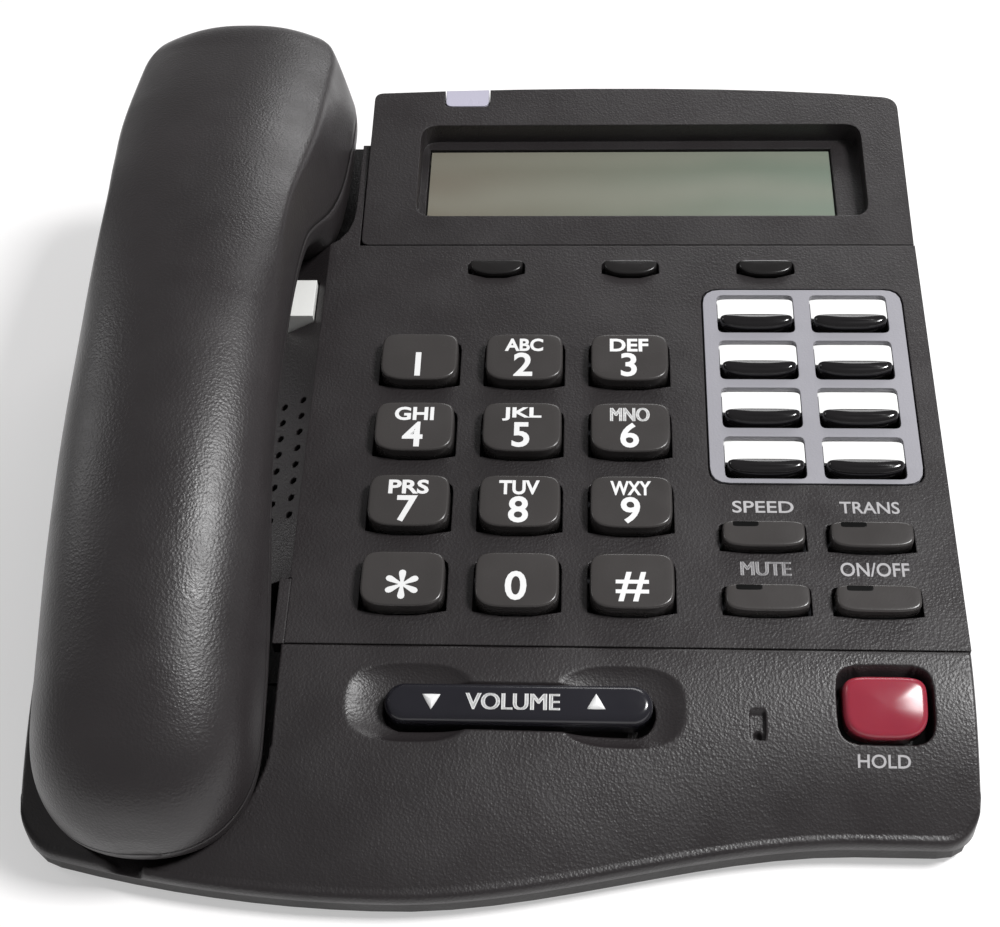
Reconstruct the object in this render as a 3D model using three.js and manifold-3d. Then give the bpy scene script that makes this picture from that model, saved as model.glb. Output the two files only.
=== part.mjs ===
// A desk telephone: key-system speakerphone with a display, a twelve-key dial, eight line keys
// and a handset lying in the cradle on its left.
// Millimetres, +Z up, X to the user's right, Y away from the user, origin on the table under the
// middle of the outline.

import * as THREE from 'three';
import { mergeVertices } from 'three/addons/utils/BufferGeometryUtils.js';
import Module from 'manifold-3d';

// ---- driving dimensions -------------------------------------------------------------------

const WIDTH = 184;                 // base, across
const SEAM_Y = -57;                // where the key deck meets the front panel
const SEAM_Z = 25.4;               // height of the deck at that seam
const BACK_Y = 92;                 // back wall
const DECK_TILT = 10;              // degrees, deck and cradle alike
const WALL = 2.2;                  // moulded wall thickness
const GAP = 0.4;                   // running clearance between separate pieces
const BASE_CORNER = 7;             // plan radius of the base's corners
const RIM_Z = 6;                   // lower edge of the upper mouldings
const FLOOR_Z = 2;                 // underside of the bottom tray, standing on its feet

const LIP_RIGHT = -89.6;           // front edge at the right
const LIP_BULGE = 13.53;           // how much further the middle stands out
const LIP_Z = 7.5;                 // top of the front panel at the lip

const KEY_PITCH_X = 23;            // dial keys
const KEY_PITCH_Y = 18.7;
const KEY_WIDTH = 17;
const KEY_DEPTH = 12.6;
const KEY_RISE = 3.5;
const DIAL_LEFT = -19.7;           // centre of the left column
const DIAL_FRONT = 6.9;            // front edge of the lowest row, up the deck from the seam

const LINE_COLUMNS = [54.6, 75.3];
const LINE_FRONT = 40.4;
const LINE_PITCH = 12.95;
const LINE_KEY = { width: 16.3, depth: 3.6, rise: 2.0 };
const LABEL_DEPTH = 7;             // paper label behind each line key
const FRAME = { x: 65.1, y: 64.9, width: 44.2, depth: 52.2, corner: 4 };

const FUNCTION_COLUMNS = [53.1, 74.9];
const FUNCTION_FRONTS = [22, 7.2];
const FUNCTION_KEY = { width: 17, depth: 6.4, rise: 2.5 };

const SOFT_COLUMNS = [-3.9, 26.8, 57.5];
const SOFT_FRONT = 94.8;
const SOFT_KEY = { width: 12.3, depth: 4.2, rise: 1.4 };

const DISPLAY_LEFT = -35.8;
const DISPLAY_RIGHT = 91.8;
const DISPLAY_FRONT = 104.7;       // up the deck
const DISPLAY_BACK = 153.6;
const DISPLAY_SEAT = -8;           // its seat, below the deck's surface
const DISPLAY_RISE = 2.8;          // its face at the back, above the deck's surface
const WINDOW = { left: -23.6, right: 82.4, front: 113.2, back: 141.4, depth: 3.6, corner: 4 };
const SCREEN = { left: -21.8, right: 75.8, front: 115, back: 138.8 };
const LAMP = { x: -12.8, width: 10.5, depth: 6 };

const CRADLE_X = -66;              // handset's centre plane
const CRADLE_DEPTH = 13.15;        // cradle floor below the deck's surface
const SHELF_DEPTH = 7;             // shelf under the grip, below the deck's surface
const HANDSET_LENGTH = 204.6;
const HANDSET_Y = -97;             // front tip
const HANDSET_Z = 5;
const HANDSET_WALL = 2.2;

const VOLUME = { x: 4.2, y: -69.2, width: 52, depth: 8.2, rise: 3 };
const HOLD = { x: 74.6, y: -67.6, width: 16.6, depth: 12.8, rise: 1.2 };
const MIC = { x: 50.2, y: -71.2 };

const FEET = [[-74, -72], [76, -72], [-76, 76], [76, 76]];
const SCREWS = [[-36, -40], [85.4, -23], [-28, 87.4], [85.4, 87.4]];

// ---- finishes -----------------------------------------------------------------------------

function finish(color, roughness, metalness = 0) {
  return new THREE.MeshStandardMaterial({ color, roughness, metalness });
}

const finishes = {
  housing: finish(0x2f2c2d, 0.62),
  tray: finish(0x232122, 0.7),
  key: finish(0x3d3b3b, 0.45),
  glossKey: finish(0x1c1b1c, 0.22),
  frame: finish(0x9694a0, 0.5),
  paper: finish(0xf2f2f0, 0.85),
  hold: finish(0x96323f, 0.25),
  lamp: finish(0xd7d4e1, 0.35),
  window: finish(0xc8ccc4, 0.1),
  lcd: finish(0x969b8c, 0.3),
  whitePlastic: finish(0xf4f4f2, 0.5),
  rubber: finish(0x1d1d1d, 0.9),
  silicone: finish(0x55565a, 0.85),
  board: finish(0x1f5a34, 0.6),
  steel: finish(0xa5a7aa, 0.35, 1),
  socket: finish(0x151515, 0.5),
  cone: finish(0x26241f, 0.8),
};

// ---- solids: joining and cutting ----------------------------------------------------------

const wasm = await Module();
wasm.setup();

function solid(geometry) {
  const bare = geometry.index ? geometry.toNonIndexed() : geometry.clone();
  bare.deleteAttribute('normal');
  bare.deleteAttribute('uv');
  const merged = mergeVertices(bare, 1e-4);
  return new wasm.Manifold(new wasm.Mesh({
    numProp: 3,
    vertProperties: new Float32Array(merged.attributes.position.array),
    triVerts: new Uint32Array(merged.index.array),
  }));
}

function geometryOf(body) {
  const mesh = body.getMesh();
  const geometry = new THREE.BufferGeometry();
  geometry.setAttribute('position', new THREE.BufferAttribute(mesh.vertProperties, 3));
  geometry.setIndex(new THREE.BufferAttribute(mesh.triVerts, 1));
  geometry.computeVertexNormals();
  return geometry;
}

function joined(...bodies) {
  return bodies.reduce((whole, body) => whole.add(body));
}

function cut(body, ...tools) {
  return tools.reduce((rest, tool) => rest.subtract(tool), body);
}

// ---- plain forms --------------------------------------------------------------------------

function block(x0, x1, y0, y1, z0, z1) {
  const geometry = new THREE.BoxGeometry(x1 - x0, y1 - y0, z1 - z0);
  return geometry.translate((x0 + x1) / 2, (y0 + y1) / 2, (z0 + z1) / 2);
}

function plate(shape, z0, z1, curveSegments = 4) {
  const options = { depth: z1 - z0, bevelEnabled: false, curveSegments };
  return new THREE.ExtrudeGeometry(shape, options).translate(0, 0, z0);
}

function disc(x, y, z0, z1, radius, sides = 16) {
  const geometry = new THREE.CylinderGeometry(radius, radius, z1 - z0, sides);
  return geometry.rotateX(Math.PI / 2).translate(x, y, (z0 + z1) / 2);
}

// A side view, drawn as [y, z] points, carried across from x0 to x1.
function crosswise(points, x0, x1) {
  const shape = new THREE.Shape(points.map(([y, z]) => new THREE.Vector2(y, z)));
  const geometry = new THREE.ExtrudeGeometry(shape, { depth: x1 - x0, bevelEnabled: false });
  const turn = new THREE.Matrix4().set(0, 0, 1, x0, 1, 0, 0, 0, 0, 1, 0, 0, 0, 0, 0, 1);
  return geometry.applyMatrix4(turn);
}

// A front view, drawn as [x, z] points, carried back from y0 to y1.
function lengthwise(points, y0, y1) {
  const shape = new THREE.Shape(points.map(([x, z]) => new THREE.Vector2(x, z)));
  const geometry = new THREE.ExtrudeGeometry(shape, { depth: y1 - y0, bevelEnabled: false });
  return geometry.rotateX(Math.PI / 2).translate(0, y1, 0);
}

function roundedRectangle(x0, x1, y0, y1, r) {
  const shape = new THREE.Shape();
  shape.moveTo(x0 + r, y0);
  shape.lineTo(x1 - r, y0);
  shape.quadraticCurveTo(x1, y0, x1, y0 + r);
  shape.lineTo(x1, y1 - r);
  shape.quadraticCurveTo(x1, y1, x1 - r, y1);
  shape.lineTo(x0 + r, y1);
  shape.quadraticCurveTo(x0, y1, x0, y1 - r);
  shape.lineTo(x0, y0 + r);
  shape.quadraticCurveTo(x0, y0, x0 + r, y0);
  return shape;
}

// A closed mesh whose every point is moved to where place(x, y, z) says.
function reshaped(geometry, place) {
  const position = geometry.attributes.position;
  for (let i = 0; i < position.count; i += 1) {
    position.setXYZ(i, ...place(position.getX(i), position.getY(i), position.getZ(i)));
  }
  return geometry;
}

// Reads a curve given as [at, value] knots, smoothly between them.
function reader(knots) {
  return (at) => {
    const last = knots.length - 1;
    if (at <= knots[0][0]) return knots[0][1];
    if (at >= knots[last][0]) return knots[last][1];
    const i = knots.findIndex(([place]) => place > at) - 1;
    const [x0, y0] = knots[i];
    const [x1, y1] = knots[i + 1];
    const slope = (a, b) => (knots[b][1] - knots[a][1]) / (knots[b][0] - knots[a][0]);
    const m0 = slope(Math.max(i - 1, 0), i + 1) * (x1 - x0);
    const m1 = slope(i, Math.min(i + 2, last)) * (x1 - x0);
    const t = (at - x0) / (x1 - x0);
    const rise = (3 - 2 * t) * t * t;
    return y0 + (y1 - y0) * rise + m0 * t * (1 - t) ** 2 - m1 * t * t * (1 - t);
  };
}

// ---- the three places that pieces are built in ---------------------------------------------

const telephone = new THREE.Group();

function tiltedGroup(x, y, z, degrees) {
  const group = new THREE.Group();
  group.position.set(x, y, z);
  group.rotation.x = THREE.MathUtils.degToRad(degrees);
  telephone.add(group);
  group.updateMatrixWorld(true);
  return group;
}

const deck = tiltedGroup(0, SEAM_Y, SEAM_Z, DECK_TILT);
const handset = tiltedGroup(CRADLE_X, HANDSET_Y, HANDSET_Z, DECK_TILT);

// A deck-frame or handset-frame form, expressed in the telephone's own frame.
function onDeck(geometry) {
  return solid(geometry.applyMatrix4(deck.matrixWorld));
}

function onHandset(geometry) {
  return solid(geometry.applyMatrix4(handset.matrixWorld));
}

function piece(parent, name, body, material) {
  const geometry = body.isBufferGeometry ? body : geometryOf(body);
  const mesh = new THREE.Mesh(geometry, material);
  mesh.name = name;
  parent.add(mesh);
  return mesh;
}

// ---- outline of the base ------------------------------------------------------------------

// The front edge stands out in the middle and draws back to both sides.
function lipY(x) {
  if (x < -20) return LIP_RIGHT - LIP_BULGE + 9.5 * ((-20 - x) / 70) ** 2;
  const s = THREE.MathUtils.clamp((70 - x) / 90, 0, 1);
  return LIP_RIGHT - LIP_BULGE * s * s * (3 - 2 * s);
}

function panelZ(x, y) {
  const t = THREE.MathUtils.clamp((SEAM_Y - y) / (SEAM_Y - lipY(x)), 0, 1.2);
  return SEAM_Z - (SEAM_Z - LIP_Z) * (0.45 * t + 0.55 * t * t);
}

function panelTilt(x, y) {
  const step = 0.5;
  return Math.atan2(panelZ(x, y + step) - panelZ(x, y - step), 2 * step);
}

// The base's plan from yFront to yBack, drawn in by inset all round.
function basePlan(yBack, inset, frontInset = inset, count = 22) {
  const half = WIDTH / 2 - inset;
  const r = BASE_CORNER;
  const shape = new THREE.Shape();
  shape.moveTo(half, yBack - r);
  shape.quadraticCurveTo(half, yBack, half - r, yBack);
  shape.lineTo(-half + r, yBack);
  shape.quadraticCurveTo(-half, yBack, -half, yBack - r);
  shape.lineTo(-half, lipY(-half) + frontInset + r);
  const leftStart = -half + r;
  shape.quadraticCurveTo(-half, lipY(-half) + frontInset, leftStart, lipY(leftStart) + frontInset);
  for (let i = 1; i <= count; i += 1) {
    const x = leftStart + (2 * (half - r) * i) / count;
    shape.lineTo(x, lipY(x) + frontInset);
  }
  shape.quadraticCurveTo(half, lipY(half) + frontInset, half, lipY(half) + frontInset + r);
  return shape;
}

// ---- hollows cut for the handset and the display; grow thickens the wall left round them ----

function mouthTrough(grow) {
  const half = 23.3 + grow;
  const front = -0.35 - grow;
  const back = 58 + grow;
  const shape = new THREE.Shape();
  shape.moveTo(half, back);
  shape.lineTo(-half, back);
  for (let i = 0; i <= 20; i += 1) {
    const turn = Math.PI + (Math.PI * i) / 20;
    shape.lineTo(half * Math.cos(turn), front + half + half * Math.sin(turn));
  }
  const tube = onHandset(plate(shape, -12, 60, 10));
  const floorPlane = onHandset(block(-40, 40, -40, 80, -0.35 - grow, 60));
  return tube.intersect(floorPlane).intersect(solid(block(-120, 0, -120, 0, 6.4 - grow, 90)));
}

function earWell(grow) {
  const shape = new THREE.Shape();
  const right = -37.8 + grow;
  const front = 103 - grow;
  const r = 13;
  shape.moveTo(-110, 190);
  shape.lineTo(-110, front);
  shape.lineTo(right - r, front);
  shape.quadraticCurveTo(right, front, right, front + r);
  shape.lineTo(right, 190);
  return onDeck(plate(shape, -CRADLE_DEPTH - 0.35 - grow, 40, 6));
}

// The shelf under the grip, reached by a slope from the deck's level.
function gripShelf(grow) {
  const profile = [[-43 + grow, 0], [-54 + grow, -SHELF_DEPTH - grow], [-110, -SHELF_DEPTH - grow],
    [-110, 40], [-43 + grow, 40]];
  return onDeck(lengthwise(profile, -8, 108));
}

function displaySeat(grow) {
  const front = DISPLAY_FRONT - 0.3 - grow;
  return onDeck(block(DISPLAY_LEFT - 0.35 - grow, 120, front, 190, DISPLAY_SEAT - grow, 40));
}

// Behind the cradle the back edge is bevelled off.
function backBevel(grow) {
  const profile = [[77.6 - grow, 49.2], [BACK_Y + 0.1, 38 - grow], [120, 38 - grow], [120, 80],
    [77.6 - grow, 80]];
  return solid(crosswise(profile, -120, DISPLAY_LEFT - 0.35 + grow));
}

// ---- key shapes ---------------------------------------------------------------------------

// Rounded at the back corners, with a front edge that bows towards the user.
function keyOutline(x, front, width, depth, bow, r, grow = 0) {
  const left = x - width / 2 - grow;
  const right = x + width / 2 + grow;
  const near = front - grow;
  const far = front + depth + grow;
  const shape = new THREE.Shape();
  shape.moveTo(left, near + bow);
  shape.quadraticCurveTo(x, near - bow, right, near + bow);
  shape.lineTo(right, far - r);
  shape.quadraticCurveTo(right, far, right - r, far);
  shape.lineTo(left + r, far);
  shape.quadraticCurveTo(left, far, left, far - r);
  return shape;
}

function keyCap(outline, rise, depthBelow, bevel) {
  const options = { depth: rise + depthBelow - bevel, bevelEnabled: true, bevelThickness: bevel };
  Object.assign(options, { bevelSize: bevel, bevelOffset: -bevel, bevelSegments: 1 });
  const cap = new THREE.ExtrudeGeometry(outline, { ...options, curveSegments: 3 });
  return solid(cap.translate(0, 0, -depthBelow)).intersect(
    solid(block(-200, 200, -50, 300, -depthBelow, 60)));
}

// ---- bottom tray, feet and screws ---------------------------------------------------------

function bottomHousing() {
  const outer = solid(plate(basePlan(BACK_Y - 0.8, 0.8), FLOOR_Z, RIM_Z - GAP));
  const inner = solid(plate(basePlan(BACK_Y - 2.8, 2.8), FLOOR_Z + 1.9, 20));
  let tray = cut(outer, inner);
  for (const [x, y] of SCREWS) {
    tray = joined(tray, solid(disc(x, y, FLOOR_Z, RIM_Z, 5)));
    tray = cut(tray, solid(disc(x, y, 0, FLOOR_Z + 3, 3.4)), solid(disc(x, y, 0, 20, 1.9)));
  }
  return tray;
}

function foot(x, y) {
  return solid(disc(x, y, 0, FLOOR_Z - 0.3, 6, 20));
}

function screw(x, y) {
  const head = solid(disc(x, y, FLOOR_Z + 0.9, FLOOR_Z + 2.7, 3));
  const recess = solid(block(x - 2, x + 2, y - 0.4, y + 0.4, FLOOR_Z, FLOOR_Z + 1.7));
  return cut(joined(head, solid(disc(x, y, FLOOR_Z + 2, 16, 1.5, 12))), recess);
}

// ---- upper housing: key deck, cradle and display seat ----------------------------------------

function deckHeight(y) {
  return SEAM_Z + (y - SEAM_Y) * Math.tan(THREE.MathUtils.degToRad(DECK_TILT));
}

function housingBlock(inset, top) {
  const front = SEAM_Y + 0.2 - (inset > 0 ? 5 : 0);
  const bottom = inset > 0 ? 0 : RIM_Z;
  const side = [[front, bottom], [130, bottom], [130, deckHeight(130) - top],
    [front, deckHeight(front) - top]];
  const block3 = solid(crosswise(side, -WIDTH / 2 + inset, WIDTH / 2 - inset));
  return block3.intersect(solid(plate(basePlan(BACK_Y - inset, inset), 0, 120)));
}

function speakerHoles() {
  const holes = [];
  for (let column = 0; column < 3; column += 1) {
    for (let row = 0; row < 8; row += 1) {
      const at = disc(-45.2 - 4.5 * column, 31 + 4.25 * row, -14, 6, 0.85, 6);
      holes.push(onDeck(at));
    }
  }
  return holes;
}

function keyOpenings() {
  const openings = [];
  const open = (outline, low) => openings.push(onDeck(plate(outline, low, 4, 3)));
  for (let row = 0; row < 4; row += 1) {
    const front = DIAL_FRONT + row * KEY_PITCH_Y;
    for (let column = 0; column < 3; column += 1) {
      const x = DIAL_LEFT + column * KEY_PITCH_X;
      open(keyOutline(x, front, KEY_WIDTH, KEY_DEPTH, 1.2, 2.4, GAP), -5);
    }
    for (const x of LINE_COLUMNS) {
      const low = LINE_FRONT + row * LINE_PITCH;
      open(keyOutline(x, low, LINE_KEY.width, LINE_KEY.depth, 0.6, 0.8, GAP), -5);
    }
  }
  for (const x of FUNCTION_COLUMNS) {
    for (const front of FUNCTION_FRONTS) {
      const { width, depth } = FUNCTION_KEY;
      open(keyOutline(x, front, width, depth, 0.7, 1.2, GAP), -5);
    }
  }
  for (const x of SOFT_COLUMNS) {
    open(keyOutline(x, SOFT_FRONT, SOFT_KEY.width, SOFT_KEY.depth, 1.5, 1.2, GAP), -5);
  }
  return openings;
}

function framePocket(grow, z0, z1) {
  const { x, y, width, depth, corner } = FRAME;
  const halfX = width / 2 + grow;
  const halfY = depth / 2 + grow;
  return plate(roundedRectangle(x - halfX, x + halfX, y - halfY, y + halfY, corner), z0, z1);
}

function upperHousing() {
  const hollow = (grow) => [mouthTrough(grow), earWell(grow), gripShelf(grow), displaySeat(grow),
    backBevel(grow)];
  const cavity = cut(housingBlock(WALL, WALL), ...hollow(WALL - 0.2));
  let shell = cut(housingBlock(0, 0), cavity, ...hollow(0));
  shell = joined(shell, onDeck(framePocket(1.8, -3.8, -1)));
  for (const [x, y] of SCREWS) {
    const post = solid(disc(x, y, RIM_Z + GAP + 0.3, deckHeight(y) - 1, 3.3, 14));
    const trimmed = cut(post, ...hollow(0.5));
    shell = cut(joined(shell, trimmed), solid(disc(x, y, 0, 18, 1.85, 12)));
  }
  const displayCable = onDeck(block(-29, 87, 110, 142.6, -14, 0));
  const hookOpening = onDeck(block(-60.9, -44.6, 82.6, 94.1, -14, 8));
  const lineSocket = solid(block(19.6, 36.4, 80, 100, 9.6, 24.4));
  const handsetSocket = solid(block(-100, -85, 16.6, 31.4, 9.1, 20.9));
  return cut(shell, onDeck(framePocket(GAP, -2.2, 4)), displayCable, hookOpening, lineSocket,
    handsetSocket, ...keyOpenings(), ...speakerHoles());
}

// ---- front panel: convex apron with the mouthpiece's trough ----------------------------------

// A block whose upper face follows the panel and whose front face follows the lip.
function apron(inset, bottom) {
  const geometry = new THREE.BoxGeometry(1, 1, 1, 32, 7, 1);
  const half = WIDTH / 2 - inset;
  const back = SEAM_Y - 0.2 + (inset > 0 ? 6 : 0);
  return solid(reshaped(geometry, (u, v, w) => {
    const x = 2 * half * u;
    const front = lipY(x) - 4;
    const y = back + (front - back) * (0.5 - v);
    const top = y > SEAM_Y ? SEAM_Z + 0.25 * (y - SEAM_Y) - inset : panelZ(x, y) - inset;
    return [x, y, w > 0 ? Math.max(top, bottom + 1) : bottom];
  }));
}

function onPanel(geometry, x, y) {
  const group = new THREE.Group();
  group.position.set(x, y, panelZ(x, y));
  group.rotation.x = panelTilt(x, y);
  group.updateMatrix();
  return solid(geometry.applyMatrix4(group.matrix));
}

function scoop(x) {
  const bowl = new THREE.SphereGeometry(1, 20, 10).scale(12.4, 8, 2.2);
  return onPanel(bowl.translate(0, 0, 0.3), x, VOLUME.y + 0.6);
}

function frontPanel() {
  const plan = solid(plate(basePlan(200, 0), 0, 60));
  const innerPlan = solid(plate(basePlan(200, WALL), -10, 60));
  const cavity = cut(apron(WALL, -10).intersect(innerPlan), mouthTrough(WALL - 0.2),
    onPanel(new THREE.SphereGeometry(1, 12, 8).scale(14, 9.4, 4.2), VOLUME.x - 21, VOLUME.y + 0.4),
    onPanel(new THREE.SphereGeometry(1, 12, 8).scale(14, 9.4, 4.2), VOLUME.x + 19.5, VOLUME.y + 0.4));
  const tub = mouthTrough(WALL - 0.2).intersect(
    solid(plate(basePlan(SEAM_Y - 0.2, 3.3), FLOOR_Z + 2.3, 12)));
  const skin = cut(joined(cut(apron(0, RIM_Z).intersect(plan), cavity), tub), mouthTrough(0));
  const cordNotch = solid(block(CRADLE_X - 6, CRADLE_X + 7, -98.4, -90, 5.2, 30));
  const volumeSlot = onPanel(plate(roundedRectangle(-26.4, 26.4, -4.5, 4.5, 4.4), -9, 9),
    VOLUME.x, VOLUME.y);
  const holdSlot = onPanel(plate(keyOutline(0, -HOLD.depth / 2, HOLD.width, HOLD.depth + 1.8,
    1.2, 2.4, 0.8), -9, 9), HOLD.x, HOLD.y);
  const micSlot = onPanel(plate(roundedRectangle(-1.5, 1.5, -2.8, 2.8, 1.3), -1.2, 6), MIC.x, MIC.y);
  const micHole = onPanel(disc(0, -1.6, -9, 6, 0.75, 8), MIC.x, MIC.y);
  return cut(skin, cordNotch, scoop(VOLUME.x - 21), scoop(VOLUME.x + 19.5),
    volumeSlot, holdSlot, micSlot, micHole);
}

// ---- display ------------------------------------------------------------------------------

// The back edge bows out in the middle.
function displayOutline(inset) {
  const left = DISPLAY_LEFT + inset;
  const right = DISPLAY_RIGHT - inset;
  const front = DISPLAY_FRONT + inset;
  const shape = new THREE.Shape();
  shape.moveTo(left + 2, front);
  shape.lineTo(right, front);
  shape.lineTo(right, DISPLAY_BACK - 7.6 - inset);
  shape.quadraticCurveTo(right, DISPLAY_BACK - 4 - inset, right - 3.6, DISPLAY_BACK - 3.6 - inset);
  shape.bezierCurveTo(60, DISPLAY_BACK - inset, 10, DISPLAY_BACK + 0.4 - inset, left + 2,
    DISPLAY_BACK - 1.6 - inset);
  shape.quadraticCurveTo(left, DISPLAY_BACK - 1.7 - inset, left, DISPLAY_BACK - 4 - inset);
  shape.lineTo(left, front + 2);
  shape.quadraticCurveTo(left, front, left + 2, front);
  return shape;
}

// Everything on the deck above the display's face, which climbs a little steeper than the deck.
function aboveFace(drop) {
  const slope = DISPLAY_RISE / (DISPLAY_BACK - DISPLAY_FRONT);
  const height = (y) => slope * (y - DISPLAY_FRONT) - drop;
  return solid(crosswise([[90, height(90)], [180, height(180)], [180, 40], [90, 40]], -100, 150));
}

function lampPlan(grow) {
  const back = DISPLAY_BACK + 4;
  return roundedRectangle(LAMP.x - LAMP.width / 2 - grow, LAMP.x + LAMP.width / 2 + grow,
    DISPLAY_BACK - LAMP.depth - grow, back, 1.6);
}

function displayHousing() {
  const { left, right, front, back, depth, corner } = WINDOW;
  const bottom = DISPLAY_SEAT + 0.35;
  const outer = cut(solid(plate(displayOutline(0), bottom, 12, 8)), aboveFace(0));
  const inside = cut(solid(plate(displayOutline(WALL), bottom - 5, 12, 8)), aboveFace(WALL));
  const recessWall = solid(block(left - 2, right + 2, front - 2, back + 2, -5.4, 12));
  const recess = solid(plate(roundedRectangle(left, right, front, back, corner), -depth, 12));
  const opening = solid(block(SCREEN.left, SCREEN.right, SCREEN.front, SCREEN.back, -12, 12));
  const shell = joined(cut(outer, inside), cut(recessWall, aboveFace(0)));
  return cut(shell, recess, opening, solid(plate(lampPlan(0.3), -1.4, 12)));
}

function displayWindow() {
  const { left, right, front, back, depth, corner } = WINDOW;
  const sheet = roundedRectangle(left + 0.4, right - 0.4, front + 0.4, back - 0.4, corner);
  return solid(plate(sheet, -depth + 0.3, -depth + 1.1));
}

function lcdModule() {
  const { left, right, front, back } = SCREEN;
  const glass = solid(block(left + 0.4, right - 0.4, front + 0.4, back - 0.4, -8.8, -4.2));
  const carrier = solid(block(-28.4, 86.4, 110.6, 142, -10.4, -8.2));
  return joined(glass, carrier);
}

function messageLamp() {
  const trimmed = solid(plate(lampPlan(0), -1.1, 12)).intersect(
    solid(plate(displayOutline(0), -5, 12, 8)));
  return cut(trimmed, aboveFace(0));
}

// ---- line-key frame, labels, mats and boards -------------------------------------------------

function lineWindows(sideGrow, z0, z1) {
  const windows = [];
  for (const x of LINE_COLUMNS) {
    for (let row = 0; row < 4; row += 1) {
      const front = LINE_FRONT + row * LINE_PITCH;
      const half = LINE_KEY.width / 2 + sideGrow;
      const back = front + LINE_KEY.depth + LABEL_DEPTH - 0.4;
      const shape = roundedRectangle(x - half, x + half, front - GAP - 0.1, back, 1.4);
      windows.push(solid(plate(shape, z0, z1)));
    }
  }
  return windows;
}

function lineKeyFrame() {
  return cut(solid(framePocket(0, -1.2, 0.1)), ...lineWindows(GAP, -5, 5));
}

function labelSheet() {
  const slots = [];
  for (const x of LINE_COLUMNS) {
    for (let row = 0; row < 4; row += 1) {
      const front = LINE_FRONT + row * LINE_PITCH - 0.7;
      const half = LINE_KEY.width / 2 + GAP + 0.2;
      slots.push(solid(block(x - half, x + half, front, front + LINE_KEY.depth + 1.2, -5, 5)));
    }
  }
  return cut(solid(framePocket(-0.3, -1.9, -1.5)), ...slots);
}

// A silicone sheet with one raised dome under each key.
function keyMat(x0, x1, y0, y1, domes) {
  let mat = solid(block(x0, x1, y0, y1, -8.7, -7.9));
  for (const [x, y, halfX, halfY, top = -5.6] of domes) {
    mat = joined(mat, solid(block(x - halfX, x + halfX, y - halfY, y + halfY, -8.2, top)));
  }
  return mat;
}

function dialMat() {
  const domes = [];
  for (let row = 0; row < 4; row += 1) {
    for (let column = 0; column < 3; column += 1) {
      const front = DIAL_FRONT + row * KEY_PITCH_Y;
      domes.push([DIAL_LEFT + column * KEY_PITCH_X, front + KEY_DEPTH / 2, 4, 3]);
    }
  }
  const softKeys = SOFT_COLUMNS.slice(0, 2);
  for (const x of softKeys) domes.push([x, SOFT_FRONT + SOFT_KEY.depth / 2, 3, 1.5]);
  return keyMat(-30, 38, 5, 101, domes);
}

function sideMat() {
  const domes = [[SOFT_COLUMNS[2], SOFT_FRONT + SOFT_KEY.depth / 2, 3, 1.5]];
  for (let row = 0; row < 4; row += 1) {
    const y = LINE_FRONT + row * LINE_PITCH + LINE_KEY.depth / 2;
    for (const x of LINE_COLUMNS) domes.push([x, y, 4, 1.2, -6.5]);
  }
  for (const x of FUNCTION_COLUMNS) {
    for (const front of FUNCTION_FRONTS) domes.push([x, front + FUNCTION_KEY.depth / 2, 4, 2]);
  }
  return cut(keyMat(42, 88, 5, 101, domes), screwClearance());
}

function screwClearance() {
  const [, [x, y]] = SCREWS;
  const upDeck = (y - SEAM_Y) / Math.cos(THREE.MathUtils.degToRad(DECK_TILT)) - 1.6;
  return solid(block(x - 5, x + 12, upDeck - 5, upDeck + 5, -30, 0));
}

function mainBoard() {
  return cut(solid(block(-31, 88.6, 3, 102, -10.7, -9.1)), screwClearance());
}

// ---- speaker, microphones, hook switch and sockets --------------------------------------------

function loudspeaker() {
  const profile = [[0, -22], [12, -22], [12, -16], [21, -11.6], [22.5, -11.6], [22.5, -9.7],
    [19, -9.7], [6, -14], [0, -14.5]];
  const points = profile.map(([r, z]) => new THREE.Vector2(r, z));
  return solid(new THREE.LatheGeometry(points, 24).rotateX(Math.PI / 2).translate(-62, 46, 0));
}

function baseMicrophone() {
  return onPanel(disc(0, -1.2, -7.6, -WALL - 0.6, 3, 14), MIC.x, MIC.y);
}

// A modular jack: a block with its socket open towards +Y, before it is turned into place.
function jack(width, depth, height) {
  const body = block(-width / 2, width / 2, -depth, 0, -height / 2, height / 2);
  const mouth = block(-width / 2 + 1.6, width / 2 - 1.6, -depth + 3, 1, -height / 2 + 1.6,
    height / 2 - 3.4);
  const latch = block(-1.6, 1.6, -depth + 3, 1, height / 2 - 4, height / 2 - 1.4);
  return geometryOf(cut(solid(body), solid(mouth), solid(latch)));
}

// The pad beside the grip is one with an arm that stands up to the handset's underside.
function hookPlunger() {
  const pad = lengthwise([[-60.4, -12], [-45.1, -12], [-45.1, 0.3], [-51.6, 0.3], [-52, -6],
    [-60.4, -6.2]], 83.1, 93.6);
  const arm = block(-60.4, -55.4, 84.6, 92, -8, 9);
  return joined(solid(pad), solid(arm));
}

function hookSwitch() {
  return solid(block(-59, -46, 83, 93.6, -22, -12.5));
}

// ---- handset ------------------------------------------------------------------------------

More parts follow.
